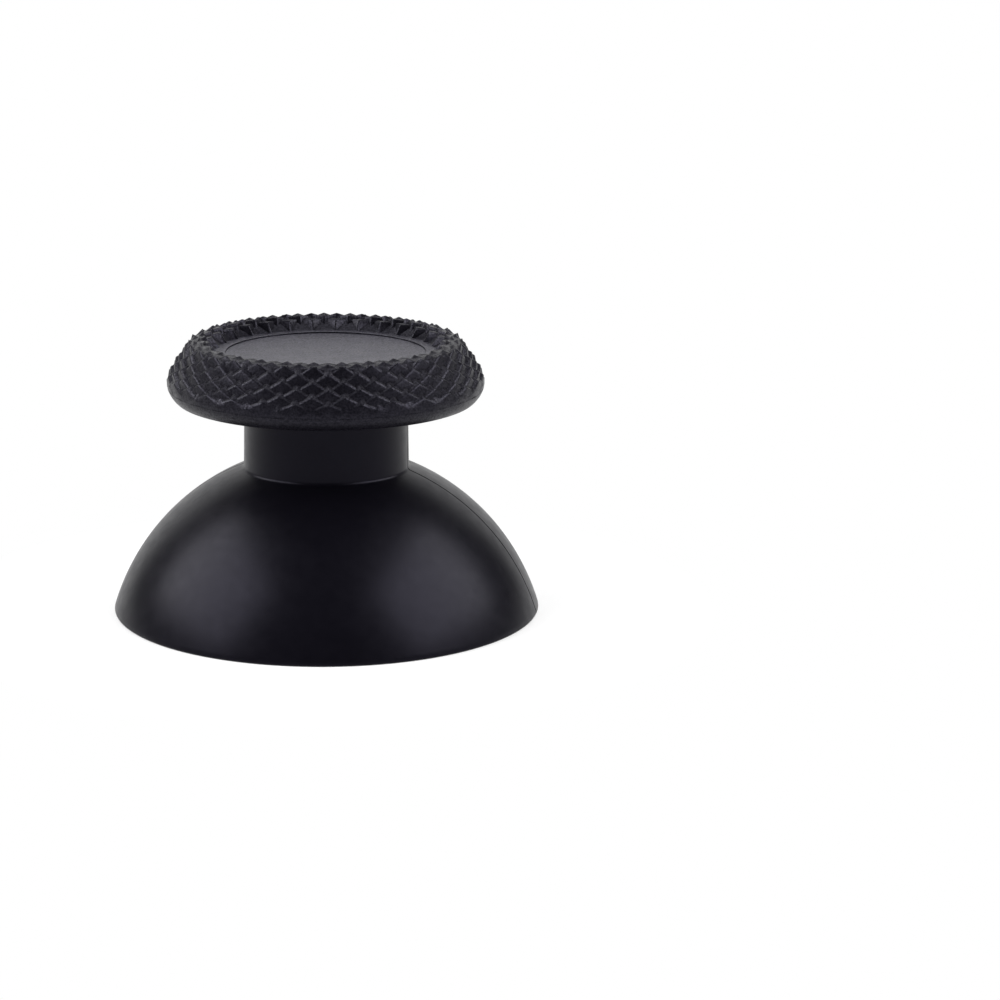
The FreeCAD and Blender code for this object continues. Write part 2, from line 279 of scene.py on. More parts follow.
def extrude(step):
    """Draws the selection out by a step."""
    bpy.ops.mesh.extrude_region_move(TRANSFORM_OT_translate={"value": step})


def weld(distance=SHAPE_WELD):
    """Merges all corners that lie within a distance."""
    bpy.ops.mesh.select_all(action="SELECT")
    bpy.ops.mesh.remove_doubles(threshold=distance)


def face_outwards():
    bpy.ops.mesh.select_all(action="SELECT")
    bpy.ops.mesh.normals_make_consistent(inside=False)


def bevel_edges(width):
    """Rounds the selected edges."""
    bpy.ops.mesh.bevel(
        offset=width, segments=3, affect="EDGES", profile=0.5, clamp_overlap=True,
    )


class Pen:
    """Draws an outline corner by corner in edit mode, and keeps its last place."""

    def __init__(self, name, place):
        deselect_objects()
        bpy.ops.mesh.primitive_plane_add(size=0.1, location=(0, 0, 0))
        self.piece = bpy.context.object
        self.piece.name = name
        self.piece.data.name = name
        bpy.ops.object.mode_set(mode="EDIT")
        bpy.ops.mesh.select_mode(type="VERT")
        bpy.ops.mesh.select_all(action="SELECT")
        bpy.ops.mesh.merge(type="CENTER")
        bpy.ops.transform.translate(value=place)
        self.place = Vector(place)

    def line_to(self, place):
        extrude(Vector(place) - self.place)
        self.place = Vector(place)

    def lines_to(self, *places):
        """Lines through places of the XZ half plane, each a radius and a height."""
        for place in places:
            self.line_to(profile_point(*place))

    def arc_to(self, place, centre, axis=ACROSS, *, steps):
        """A round from the last place, less than half a turn about a centre."""
        first = self.place - centre
        last = Vector(place) - centre
        angle = math.atan2(first.cross(last).dot(axis), first.dot(last))
        bpy.ops.mesh.spin(
            steps=steps, angle=-angle, center=centre, axis=axis, use_auto_merge=False,
        )
        self.place = Vector(place)

    def close(self):
        """Joins the last corner to the first and fills the outline with one face."""
        weld(OUTLINE_WELD)
        bpy.ops.mesh.select_all(action="SELECT")
        bpy.ops.mesh.edge_face_add()


def turn_profile(steps):
    """Spins the drawn outline round the axis and closes the seam and the poles."""
    bpy.ops.mesh.select_all(action="SELECT")
    bpy.ops.mesh.spin(steps=steps, angle=2 * math.pi, center=(0, 0, 0), axis=AXIS)
    weld()
    face_outwards()


def copy_round(count):
    """Repeats all that is drawn in the open piece evenly round the axis."""
    bpy.ops.mesh.select_all(action="SELECT")
    bpy.ops.mesh.spin(
        steps=count - 1, dupli=True, angle=2 * math.pi * (count - 1) / count,
        center=(0, 0, 0), axis=AXIS, use_auto_merge=False,
    )


def round_corner(piece, place, radius, segments=4):
    """Rounds one corner of a drawn outline."""
    bpy.ops.mesh.select_all(action="DESELECT")
    select_corners(piece, lambda co: (co - place).length < NEAR)
    bpy.ops.mesh.bevel(offset=radius, segments=segments, affect="VERTICES", profile=0.5)


def apply_modifier(piece, kind, **settings):
    work_on(piece)
    bpy.ops.object.modifier_add(type=kind)
    modifier = piece.modifiers[-1]
    for name, value in settings.items():
        setattr(modifier, name, value)
    bpy.ops.object.modifier_apply(modifier=modifier.name)


def combine(piece, tool, operation):
    """Adds a shape to a piece, or cuts it away, and throws the shape away."""
    apply_modifier(piece, "BOOLEAN", operation=operation, solver="EXACT", object=tool)
    work_on(tool)
    bpy.ops.object.delete()


def finish_piece(piece, materials, replaced, sharp):
    """Reduces a piece to life size, smooths it and ties it to the cap's frame.

    Edges that turn by more than the angle sharp, in degrees, stay sharp.
    """
    work_on(piece)
    piece.scale = [1 / DRAWN_SCALE] * 3
    bpy.ops.object.transform_apply(location=False, rotation=False, scale=True)
    bpy.ops.object.shade_smooth_by_angle(angle=math.radians(sharp))
    for material in materials:
        piece.data.materials.append(material)
    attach(piece, "root")
    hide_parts(replaced)


# Body

# Fixed sizes of the body, in drawn units. The tube's step lies inside the slots' inner
# wall. The shapes that cut the slots, the socket and the mark start clear of the body.
TUBE_INSET = 0.05
PLATE_ROUNDING = 0.06
RIB_ROUNDING = 0.1
SLOTS_START = 0.1
SOCKET_START = 0.3
PIN_LENGTH = 8
PIN_MIDDLE = 6
BODY_STEPS = 144


def draw_body(s):
    """The dome, the hub, the stem and the head plate, turned from one outline."""
    centre = s.dome_centre

    def on_sphere(fillet_centre, radius):
        """The point of the dome's sphere that a fillet touches."""
        return centre + (fillet_centre - centre).normalized() * radius

    def fillet_beside(wall_radius, sphere_radius, fillet):
        """The middle of a fillet between an upright wall and a sphere."""
        across = wall_radius + abs(fillet)
        height = math.sqrt((sphere_radius + fillet) ** 2 - across ** 2)
        return profile_point(across, centre.z + height)

    def rim_fillet(sphere_radius):
        across = math.sqrt(sphere_radius ** 2 - (s.rim_rounding - centre.z) ** 2)
        return profile_point(across, s.rim_rounding)

    tube_side = s.tube_radius - TUBE_INSET
    hub_fillet = fillet_beside(s.hub_radius, s.inner_radius, -s.hub_root)
    inner_rim = rim_fillet(s.inner_radius + s.rim_rounding)
    outer_rim = rim_fillet(s.dome_radius - s.rim_rounding)
    foot_fillet = fillet_beside(s.stem_foot_radius, s.dome_radius, s.stem_foot)

    pen = Pen("body", profile_point(0, s.tube_face))
    pen.lines_to(
        (tube_side, s.tube_face), (tube_side, s.hub_recess),
        (s.hub_radius, s.hub_recess), (s.hub_radius, hub_fillet.z))
    pen.arc_to(on_sphere(hub_fillet, s.inner_radius), hub_fillet, steps=6)
    pen.arc_to(on_sphere(inner_rim, s.inner_radius), centre, steps=48)
    pen.arc_to(profile_point(inner_rim.x, 0), inner_rim, steps=4)
    pen.lines_to((outer_rim.x, 0))
    pen.arc_to(on_sphere(outer_rim, s.dome_radius), outer_rim, steps=4)
    pen.arc_to(on_sphere(foot_fillet, s.dome_radius), centre, steps=48)
    pen.arc_to(profile_point(s.stem_foot_radius, foot_fillet.z), foot_fillet, steps=6)
    pen.lines_to(
        (s.stem_top_radius, s.plate_underside), (s.plate_radius, s.plate_underside),
        (s.plate_radius, s.plate_top), (0, s.plate_top))
    body = pen.piece
    round_corner(body, profile_point(tube_side, s.tube_face), s.edge_rounding)
    round_corner(body, profile_point(s.hub_radius, s.hub_recess), s.edge_rounding)
    round_corner(body, profile_point(s.stem_top_radius, s.plate_underside), s.stem_top)
    round_corner(
        body, profile_point(s.plate_radius, s.plate_underside), PLATE_ROUNDING, segments=2)
    turn_profile(BODY_STEPS)
    deselect_objects()
    return body


def draw_ribs(s):
    """Ribs between the hub and the dome, their upper edges buried in its wall."""
    centre = s.dome_centre

    def on_sphere(radius, across):
        return centre + profile_point(across, math.sqrt(radius ** 2 - across ** 2))

    reach = s.inner_rim_radius - s.rib_rim_gap
    buried = s.inner_radius + s.dome_wall / 2
    root_radius = (s.slot_outer_radius + s.hub_radius) / 2
    root = profile_point(s.hub_radius, s.hub_recess + s.rib_root_rise)
    end = on_sphere(s.inner_radius, reach) - AXIS * s.rib_end_step
    chord = end - root
    bow_radius = (chord.length ** 2 / 4 + s.rib_bow ** 2) / (2 * s.rib_bow)
    down = Vector((chord.z, 0, -chord.x)).normalized()
    bow_centre = (root + end) / 2 + down * (bow_radius - s.rib_bow)
    side = -ACROSS * s.rib_thickness / 2

    pen = Pen("ribs", profile_point(root_radius, root.z) + side)
    pen.line_to(root + side)
    pen.arc_to(end + side, bow_centre + side, steps=24)
    pen.line_to(on_sphere(buried, reach) + side)
    pen.arc_to(on_sphere(buried, root_radius) + side, centre + side, steps=12)
    pen.line_to(profile_point(root_radius, root.z) + side)
    pen.close()
    ribs = pen.piece
    extrude(-2 * side)
    face_outwards()

    def free(place):
        """On the bowed edge, which stands free."""
        off_bow = abs((place - bow_centre).xz.length - bow_radius)
        return place.x > root.x - NEAR and off_bow < NEAR

    select_edges(ribs, lambda a, b: free(a) and free(b) and abs(a.y - b.y) < NEAR)
    bevel_edges(RIB_ROUNDING)
    copy_round(s.rib_count)
    deselect_objects()
    return ribs


def draw_slots(s):
    """The kidney slots of the hub, as a shape to cut away."""
    middle = (s.tube_radius + s.slot_outer_radius) / 2
    spare = math.asin((s.slot_bridge + s.slot_width) / 2 / middle)
    last = 2 * math.pi / s.slot_count - spare
    floor = AXIS * (s.hub_recess - SLOTS_START)

    def at(radius, angle):
        return Vector((radius * math.cos(angle), radius * math.sin(angle), 0)) + floor

    pen = Pen("slots", at(s.slot_outer_radius, spare))
    for angle, here, there, way in (
            (last, s.slot_outer_radius, s.tube_radius, 1),
            (spare, s.tube_radius, s.slot_outer_radius, -1)):
        beyond = Vector((-math.sin(angle), math.cos(angle), 0)) * way * s.slot_width / 2
        end = at(middle, angle)
        pen.arc_to(at(here, angle), floor, AXIS, steps=16)
        pen.arc_to(end + beyond, end, AXIS, steps=6)
        pen.arc_to(at(there, angle), end, AXIS, steps=6)
    pen.close()
    slots = pen.piece
    depth = s.plate_top - s.slot_roof - floor.z
    extrude(AXIS * depth)
    face_outwards()
    copy_round(s.slot_count)
    deselect_objects()
    return slots


def draw_socket(s):
    """The hole for the shaft, its two flats and its lead-in, as a shape to cut away."""
    deselect_objects()
    foot = s.tube_face + s.socket_lead_in
    bpy.ops.mesh.primitive_circle_add(
        vertices=96, radius=s.socket_radius, fill_type="NGON", location=(0, 0, foot),
    )
    socket = bpy.context.object
    socket.name = "socket"
    bpy.ops.object.transform_apply(location=True, rotation=False, scale=False)
    bpy.ops.object.mode_set(mode="EDIT")
    for side in (1, -1):
        bpy.ops.mesh.select_all(action="SELECT")
        bpy.ops.mesh.bisect(
            plane_co=(0, side * s.socket_half_flats, foot), plane_no=(0, side, 0),
            use_fill=False, clear_outer=True, threshold=CUT_THRESHOLD,
        )
    bpy.ops.mesh.select_all(action="SELECT")
    depth = s.plate_top - s.socket_roof - foot
    extrude(AXIS * depth)
    bpy.ops.mesh.select_all(action="DESELECT")
    select_corners(socket, lambda co: abs(co.z - foot) < NEAR)
    extrude(AXIS * -s.socket_lead_in)
    wider = (
        1 + s.socket_lead_in / s.socket_radius,
        1 + s.socket_lead_in / s.socket_half_flats,
        1,
    )
    bpy.ops.transform.resize(value=wider, center_override=(0, 0, foot))
    extrude(AXIS * -SOCKET_START)
    face_outwards()
    deselect_objects()
    return socket


def draw_mark(s):
    """The shallow round step that the ejector pin leaves, as a shape to cut away."""
    deselect_objects()
    foot = Vector((math.cos(s.mark_angle), math.sin(s.mark_angle), 0)) * s.mark_place
    bpy.ops.mesh.primitive_cylinder_add(
        vertices=96, radius=s.mark_radius, depth=PIN_LENGTH,
        location=foot + AXIS * PIN_MIDDLE,
    )
    mark = bpy.context.object
    mark.name = "mark"
    bpy.ops.object.transform_apply(location=True, rotation=False, scale=False)
    deselect_objects()
    bpy.ops.mesh.primitive_uv_sphere_add(
        segments=256, ring_count=128, radius=s.inner_radius + s.mark_depth,
        location=s.dome_centre,
    )
    combine(mark, bpy.context.object, "INTERSECT")
    deselect_objects()
    return mark


# Grip

# Fixed sizes of the grip, in drawn units. The ring of the ledge starts this far outside
# the dish, and is filled in from there out to the recesses.
LIP_ROUNDING = 0.07
SEAT_ROUNDING = 0.06
DISH_ROUNDING = 0.03
LEDGE_LAP = 0.08
GRIP_STEPS = 240

# Where the curves of the land and of the inner wall bend, as shares of their own size
LAND_BEND = 0.35
LAND_CROWN = 0.2
WALL_TOP_BEND = 0.3
WALL_FOOT_BEND = 0.35
WALL_FOOT_RISE = 0.5
CURVE_STEPS = 200

# The flat knurl is drawn this much wider than it is on the crest. The land is levelled
# from and to these parts of a row before and after its own rows, and a corner this near
# to a row's number lies on that row.
NET_SPREAD = 1.1
LAND_BEFORE = 0.4
LAND_AFTER = 0.3
ON_ROW = 0.0005


def bezier(poles, share):
    """The point at a share of the way along a curve with four poles."""
    a, b, c, d = poles
    rest = 1 - share
    return (a * rest ** 3 + b * 3 * rest ** 2 * share
            + c * 3 * rest * share ** 2 + d * share ** 3)


def belly_curve(s):
    """Radius and centre of the belly's arc, which runs from the lip to the widest place."""
    radius = (s.belly_rise ** 2 + s.belly_bulge ** 2) / (2 * s.belly_bulge)
    return radius, profile_point(s.belly_radius - radius, s.belly_height)


def knurl_foot(s):
    """Where the knurl begins on the belly."""
    radius, centre = belly_curve(s)
    below = s.belly_rise - s.knurl_start
    return centre + profile_point(math.sqrt(radius ** 2 - below ** 2), -below)


class Meridian:
    """The line of the studs' tips, from the belly over the crest to the ledge."""

    def __init__(self, s):
        self.s = s
        radius, centre = belly_curve(s)
        first = knurl_foot(s) - centre
        widest = centre + profile_point(radius, 0)
        outer = profile_point(s.land_radius, s.land_height)
        crest = profile_point(s.crest_radius, s.crest_height)
        ledge = profile_point(s.ledge_radius, s.ledge_height)
        turn = math.atan2(-first.z, first.x)
        shoulder = (
            widest,
            widest + AXIS * s.shoulder_rise * s.shoulder_fullness,
            outer + profile_point(s.shoulder_width, -s.shoulder_rise) * s.shoulder_fullness,
            outer,
        )
        land = (
            outer,
            outer.lerp(crest, LAND_BEND) + AXIS * s.land_rise * LAND_CROWN,
            crest + profile_point(s.land_width * LAND_BEND, 0),
            crest,
        )
        wall = (
            crest,
            crest - profile_point(s.inner_wall_width * WALL_TOP_BEND, 0),
            ledge + profile_point(
                s.inner_wall_width * WALL_FOOT_BEND, s.inner_wall_drop * WALL_FOOT_RISE),
            ledge,
        )
        self.points = []
        for step in range(CURVE_STEPS):
            angle = -turn * (1 - step / CURVE_STEPS)
            self.points.append(
                centre + profile_point(math.cos(angle), math.sin(angle)) * radius)
        for poles in (shoulder, land, wall):
            self.points += [
                bezier(poles, step / CURVE_STEPS) for step in range(CURVE_STEPS)]
        self.points.append(ledge)
        self.lengths = [0.0]
        for before, after in zip(self.points, self.points[1:]):
            self.lengths.append(self.lengths[-1] + (after - before).length)
        self.land_length = self.lengths[2 * CURVE_STEPS]
        self.crest_length = self.lengths[3 * CURVE_STEPS]
        self.length = self.lengths[-1]

    def row_length(self, row):
        """How far a row of the net lies from the meridian's foot."""
        s = self.s
        wall = self.length - self.crest_length
        if row <= s.land_row:
            return self.land_length * (max(row, 0) / s.land_row) ** s.row_grading
        if row <= s.crest_row:
            share = (row - s.land_row) / (s.crest_row - s.land_row)
            return self.land_length + (self.crest_length - self.land_length) * share
        if row <= s.last_row:
            return self.crest_length + wall * s.inner_row_share * (row - s.crest_row)
        last = s.inner_row_share * (s.last_row - s.crest_row)
        return self.crest_length + wall * (last + (1 - last) * min(row - s.last_row, 1))

    def place(self, row):
        """The point at a row of the net, and the direction outwards there."""
        wanted = self.row_length(row)
        low, high = 0, len(self.points) - 1
        while high - low > 1:
            middle = (low + high) // 2
            if self.lengths[middle] <= wanted:
                low = middle
            else:
                high = middle
        part = (wanted - self.lengths[low]) / (self.lengths[high] - self.lengths[low])
        along = (self.points[high] - self.points[low]).normalized()
        place = self.points[low].lerp(self.points[high], part)
        return place, Vector((along.z, 0, -along.x))


# A stud's three faces on the flat net: half pitches aside, rows above the tip, and height
# in stud heights. The upper faces rise at 1 - 2 x aside - rows, and the lower at 1 + rows.
UPPER_FACE = [(0, 0, 1), (0.75, -0.75, 0.25), (0.75, -0.25, -0.25), (0.25, 0.25, 0.25),
              (0.25, 0.75, -0.25), (0, 1, 0)]
LOWER_FACE = [(0, 0, 1), (-0.75, -0.75, 0.25), (-0.25, -1.25, -0.25), (0, -1, 0),
              (0.25, -1.25, -0.25), (0.75, -0.75, 0.25)]

# The upper faces below and beside a recess, in the last row but one and in the last row,
# and the recess, which lies at the level of the pits and is placed from the tip below it
NET_FLOOR = -0.25
UPPER_FACE_BELOW_RECESS = UPPER_FACE[:-1] + [(0, 1.25, NET_FLOOR)]
UPPER_FACE_BESIDE_RECESS = UPPER_FACE[:3] + [(0.125, 1, NET_FLOOR), (0, 1, 0)]
RECESS = [(0, 1.25, NET_FLOOR), (0.25, 0.75, NET_FLOOR), (0.875, 2, NET_FLOOR),
          (-0.875, 2, NET_FLOOR), (-0.25, 0.75, NET_FLOOR)]


def draw_faces(unit, column, row, outlines):
    """Faces of a stud laid flat, from outlines in net units beside its tip."""
    tip = unit * Vector((column, row, 0))
    parts = []
    for outline in outlines:
        places = [tip + unit * Vector(corner) for corner in outline]
        pen = Pen("knurl", places[0])
        for place in places[1:] + places[:1]:
            pen.line_to(place)
        pen.close()
        parts.append(pen.piece)
    return join(parts)


def mirrored(outline):
    return [(-aside, above, height) for aside, above, height in outline]


def repeat(piece, count, step):
    """Lays copies of a piece in a line, each a step beyond the one before."""
    apply_modifier(
        piece, "ARRAY", count=count, use_relative_offset=False,
        use_constant_offset=True, constant_offset_displace=step,
    )


def draw_strip(s, meridian):
    """One strip of the knurl, laid flat: a full pitch wide, from first row to last."""
    across = math.pi / s.stud_count * s.crest_radius * NET_SPREAD
    along = meridian.length / s.net_end
    unit = Vector((across, along, s.stud_height))
    studs = draw_faces(unit, -2, -1, (UPPER_FACE, mirrored(UPPER_FACE), LOWER_FACE))
    repeat(studs, 2, (across, along, 0))
    repeat(studs, s.crest_row // 2 + 1, (0, 2 * along, 0))
    middle = draw_faces(
        unit, -2, s.crest_row, (UPPER_FACE, mirrored(UPPER_FACE), LOWER_FACE))
    below = draw_faces(unit, -1, s.last_row - 1, (
        UPPER_FACE_BELOW_RECESS, mirrored(UPPER_FACE_BELOW_RECESS), LOWER_FACE, RECESS))
    beside = draw_faces(unit, -2, s.last_row, (
        UPPER_FACE_BESIDE_RECESS, mirrored(UPPER_FACE_BESIDE_RECESS), LOWER_FACE))
    strip = join([studs, middle, below, beside])
    repeat(strip, 3, (2 * across, 0, 0))
    edit(strip)
    weld(STRIP_WELD)
    face_outwards()
    select_edges(strip, lambda a, b: max(a.z, b.z) > s.stud_height - NEAR)
    bevel_edges(s.ridge_rounding)
    level_land(s, strip, unit)
    for place, outwards in (
            ((-across, 0, 0), (-1, 0, 0)),
            ((across, 0, 0), (1, 0, 0)),
            ((0, 0, 0), (0, -1, 0))):
        bpy.ops.mesh.select_all(action="SELECT")
        bpy.ops.mesh.bisect(
            plane_co=place, plane_no=outwards, clear_outer=True,
            threshold=CUT_THRESHOLD,
        )
    deselect_objects()
    return strip, unit


def level_land(s, strip, unit):
    """Fills the pits between the land's studs, so that only the tips stand out."""
    level = s.land_level * unit.z
    first = (s.land_row - LAND_BEFORE) * unit.y
    last = (s.crest_row + LAND_AFTER) * unit.y
    select_none("FACE")
    mesh = bmesh.from_edit_mesh(strip.data)
    for face in mesh.faces:
        if first < face.calc_center_median().y < last:
            face.select_set(True)
    bmesh.update_edit_mesh(strip.data)
    bpy.ops.mesh.bisect(
        plane_co=(0, 0, level), plane_no=(0, 0, 1), threshold=CUT_THRESHOLD)
    select_none("VERT")
    select_corners(strip, lambda co: first < co.y < last and co.z < level)
    bpy.ops.transform.resize(value=(1, 1, 0), center_override=(0, 0, level))


def join(parts):
    """Makes several pieces into the first of them."""
    work_on(parts[0])
    for part in parts[1:]:
        part.select_set(True)
    bpy.ops.object.join()
    return parts[0]


def lay_on_grip(s, strip, unit, meridian):
    """Bends the strip over the grip: its width turns, its length takes the meridian."""
    for corner in strip.data.vertices:
        column, row, height = (corner.co[i] / unit[i] for i in range(3))
        place, outwards = meridian.place(row)
        if row < ON_ROW:
            place = place - profile_point(s.knurl_run_out, 0)
        elif row < s.net_end - ON_ROW:
            fade = min(max((row - s.first_row) / s.fading_rows, 0), 1)
            depth = s.stud_height * fade * (1 - height) + s.knurl_run_out * (1 - fade)
            place = place - outwards * depth
        else:
            place = place + profile_point(s.ledge_scallop * height / NET_FLOOR, 0)
        turn = Matrix.Rotation(math.pi / s.stud_count * column, 3, "Z")
        corner.co = turn @ place


def draw_grip(s):
    """The closed shell of the grip: knurl, band, lip, seat over the plate, and dish."""
    meridian = Meridian(s)
    strip, unit = draw_strip(s, meridian)
    lay_on_grip(s, strip, unit, meridian)
    edit(strip)
    copy_round(s.stud_count)
    weld(KNURL_WELD)
    deselect_objects()

    foot = knurl_foot(s)
    belly_centre = belly_curve(s)[1]
    pen = Pen("band", foot)
    lip = profile_point(s.lip_radius, s.lip_height)
    pen.arc_to(lip, belly_centre, steps=8)
    pen.lines_to(
        (s.plate_radius, s.lip_height), (s.plate_radius, s.plate_top), (0, s.plate_top))
    band = pen.piece
    round_corner(band, lip, LIP_ROUNDING, segments=3)
    round_corner(
        band, profile_point(s.plate_radius, s.lip_height), SEAT_ROUNDING, segments=3)
    turn_profile(GRIP_STEPS)
    deselect_objects()

    curve_radius = (s.dish_radius ** 2 + s.dish_sag ** 2) / (2 * s.dish_sag)
    curve_centre = profile_point(0, s.dish_edge - s.dish_sag + curve_radius)
    ledge_edge = profile_point(s.dish_radius, s.ledge_height)
    pen = Pen("dish", profile_point(s.dish_radius + LEDGE_LAP, s.ledge_height))
    pen.line_to(ledge_edge)
    pen.line_to(profile_point(s.dish_radius, s.dish_edge))
    pen.arc_to(profile_point(0, s.dish_edge - s.dish_sag), curve_centre, steps=24)
    dish = pen.piece
    round_corner(dish, ledge_edge, DISH_ROUNDING, segments=2)
    turn_profile(GRIP_STEPS)
    deselect_objects()

    grip = join([strip, band, dish])
    grip.name = "grip"
    grip.data.name = "grip"
    edit(grip)
    for height in (foot.z, s.ledge_height):
        select_none("EDGE")
        mesh = bmesh.from_edit_mesh(grip.data)
        for line in mesh.edges:
            level = all(abs(corner.co.z - height) < NEAR for corner in line.verts)
            if line.is_boundary and level:
                line.select_set(True)
        bmesh.update_edit_mesh(grip.data)
        bpy.ops.mesh.fill()
    face_outwards()
    deselect_objects()
    return grip


# Materials

PLASTIC_IOR = 1.5
# The gloss of the black plastic is slightly violet.
REFLECTION = (0.8, 0.77, 1.0)
# Between these values lies nearly all of a coarse noise, and of the grain of the grip
NOISE_SPAN = (0.3, 0.7)
GRAIN_SPAN = (0.35, 0.65)
# How white the floor and the backdrop show close to the cap, beside their own shade
WHITE_NEARBY = 0.3
# The parting line is full over this share of its width, and fades over the rest.
SEAM_CORE = 0.8
# The grip's roughness goes this far either way, in patches so many grains wide, and the
# colour and gloss of its grain go between two shares of their mean: painted shade, darker
# and duller in the grain's pits and lighter and glossier on its tops.
ROUGHNESS_SPREAD = 0.05
PATCH_GRAINS = 8
GRAIN_PAINTED_SHADE = (0.7, 1.3)
GRAIN_PAINTED_GLOSS = (0.3, 1.7)


class Nodes:
    """A material's node tree with short ways to add and join nodes."""

    def __init__(self, name):
        self.material = bpy.data.materials.new(name)
        self.material.use_nodes = True
        self.tree = self.material.node_tree
        self.shader = self.tree.nodes["Principled BSDF"]
        self.place = self.add("ShaderNodeTexCoord").outputs["Object"]

    def add(self, kind, **settings):
        node = self.tree.nodes.new(kind)
        for name, value in settings.items():
            setattr(node, name, value)
        return node

    def join(self, output, socket):
        self.tree.links.new(output, socket)

    def feed(self, name, output):
        """Joins an output to the shader's own socket of that name."""
        self.join(output, self.shader.inputs[name])

    def noise(self, feature, detail, roughness=0.55):
        """Even noise whose features are about this many metres across."""
        node = self.add("ShaderNodeTexNoise")
        node.inputs["Scale"].default_value = 1 / feature
        node.inputs["Detail"].default_value = detail
        node.inputs["Roughness"].default_value = roughness
        self.join(self.place, node.inputs["Vector"])
        return node.outputs["Fac"]

    def range(self, value, span, onto):
        """Moves a value from one span, low and high, onto another."""
        node = self.add("ShaderNodeMapRange")
        for name, number in zip(("From Min", "From Max", "To Min", "To Max"), span + onto):
            node.inputs[name].default_value = number
        self.join(value, node.inputs["Value"])
        return node.outputs["Result"]

    def math(self, operation, *values):
        node = self.add("ShaderNodeMath", operation=operation)
        for value, socket in zip(values, node.inputs):
            self.join(value, socket)
        return node.outputs["Value"]

    def bump(self, height, depth, under=None):
        """Relief so many metres deep, on top of another if there is one under it."""
        node = self.add("ShaderNodeBump")
        node.inputs["Strength"].default_value = 1.0
        node.inputs["Distance"].default_value = depth
        self.join(height, node.inputs["Height"])
        if under is not None:
            self.join(under, node.inputs["Normal"])
        return node.outputs["Normal"]

    def shade(self, value, colour, dark, light):
        """A colour, dark to light times as bright as it is, by a value from 0 to 1."""
        node = self.add("ShaderNodeMix", data_type="RGBA")
        for name, factor in (("A", dark), ("B", light)):
            node.inputs[name].default_value = (*(part * factor for part in colour), 1)
        self.join(value, node.inputs["Factor"])
        return node.outputs["Result"]


def satin_plastic(s):
    """The outside of the body: fine texture, faint blotches and the parting line."""
    n = Nodes("satin black plastic")
    n.shader.inputs["IOR"].default_value = PLASTIC_IOR
    n.shader.inputs["Specular Tint"].default_value = (*REFLECTION, 1)
    place = n.add("ShaderNodeSeparateXYZ")
    n.join(n.place, place.inputs["Vector"])
    beside = n.math("ABSOLUTE", place.outputs["Y"])
    half = s.seam_width / DRAWN_SCALE / 2
    line = n.range(beside, (half * SEAM_CORE, half), (1, 0))
    blotches = n.range(n.noise(feature=0.003, detail=2), NOISE_SPAN, (0.35, 0.65))
    brightness = n.math("SUBTRACT", blotches, line)
    roughness = n.range(n.noise(feature=0.0006, detail=4), NOISE_SPAN, (0.29, 0.37))
    gloss = n.range(line, (0, 1), (0.12, 0))
    grain = n.bump(n.noise(feature=0.00006, detail=2), depth=0.0000015)
    n.feed("Base Color", n.shade(brightness, s.body_colour, dark=0.8, light=1.2))
    n.feed("Roughness", roughness)
    n.feed("Specular IOR Level", gloss)
    n.feed("Normal", n.bump(line, depth=0.00001, under=grain))
    return n.material


def glossy_plastic(s):
    """The inside of the dome, moulded against polished steel, with faint flow marks."""
    n = Nodes("glossy black plastic")
    n.shader.inputs["IOR"].default_value = PLASTIC_IOR
    flow = n.noise(feature=0.002, detail=3)
    roughness = n.range(n.noise(feature=0.0008, detail=4), NOISE_SPAN, (0.16, 0.26))
    waves = n.bump(n.noise(feature=0.0012, detail=1), depth=0.000006)
    grain = n.bump(n.noise(feature=0.0001, detail=2), depth=0.000001, under=waves)
    n.feed("Base Color", n.shade(flow, s.body_colour, dark=0.85, light=1.15))
    n.feed("Roughness", roughness)
    n.feed("Normal", grain)
    return n.material


def soft_plastic(s, name, roughness, gloss, feature, depth, lift):
    """The grip: soft and matte, its grain painted with shade, darker and duller in the pits
    than on top.
    """
    n = Nodes(name)
    n.shader.inputs["IOR"].default_value = PLASTIC_IOR
    n.shader.inputs["Specular Tint"].default_value = (*REFLECTION, 1)
    grain = n.noise(feature, detail=3, roughness=0.6)
    patches = n.noise(feature * PATCH_GRAINS, detail=3)
    # lift scales the grip's colour; the dish's larger lift is painted light.
    dark, light = (factor * lift for factor in GRAIN_PAINTED_SHADE)
    dull, glossy = (factor * gloss for factor in GRAIN_PAINTED_GLOSS)
    smooth, rough = roughness - ROUGHNESS_SPREAD, roughness + ROUGHNESS_SPREAD
    # Painted shade: the grain's colour and gloss follow its bump, darker and duller in the
    # pits, lighter and glossier on top.
    n.feed("Base Color", n.shade(grain, s.grip_colour, dark, light))
    n.feed("Specular IOR Level", n.range(grain, GRAIN_SPAN, (dull, glossy)))
    n.feed("Roughness", n.range(patches, NOISE_SPAN, (smooth, rough)))
    n.feed("Normal", n.bump(grain, depth))
    return n.material


def pale_stage(s, name, near, far):
    """A pale matte sheet, shaded near the cap and plain white farther off."""
    n = Nodes(name)
    shader = n.shader
    shader.inputs["Base Color"].default_value = (*s.floor_colour, 1)
    shader.inputs["Roughness"].default_value = 0.9
    shader.inputs["Specular IOR Level"].default_value = 0.0
    white = n.add("ShaderNodeEmission")
    white.inputs["Color"].default_value = (1, 1, 1, 1)
    white.inputs["Strength"].default_value = 1.0
    reach = n.add("ShaderNodeVectorMath", operation="LENGTH")
    n.join(n.place, reach.inputs[0])
    away = n.range(reach.outputs["Value"], (near, far), (WHITE_NEARBY, 1.0))
    path = n.add("ShaderNodeLightPath")
    seen = path.outputs["Is Camera Ray"]
    for kind in ("Is Glossy Ray", "Is Transmission Ray"):
        seen = n.math("MAXIMUM", seen, path.outputs[kind])
    blend = n.add("ShaderNodeMixShader")
    n.join(n.math("MULTIPLY", seen, away), blend.inputs["Fac"])
    n.join(shader.outputs["BSDF"], blend.inputs[1])
    n.join(white.outputs["Emission"], blend.inputs[2])
    n.join(blend.outputs["Shader"], n.tree.nodes["Material Output"].inputs["Surface"])
    return n.material


# Operators

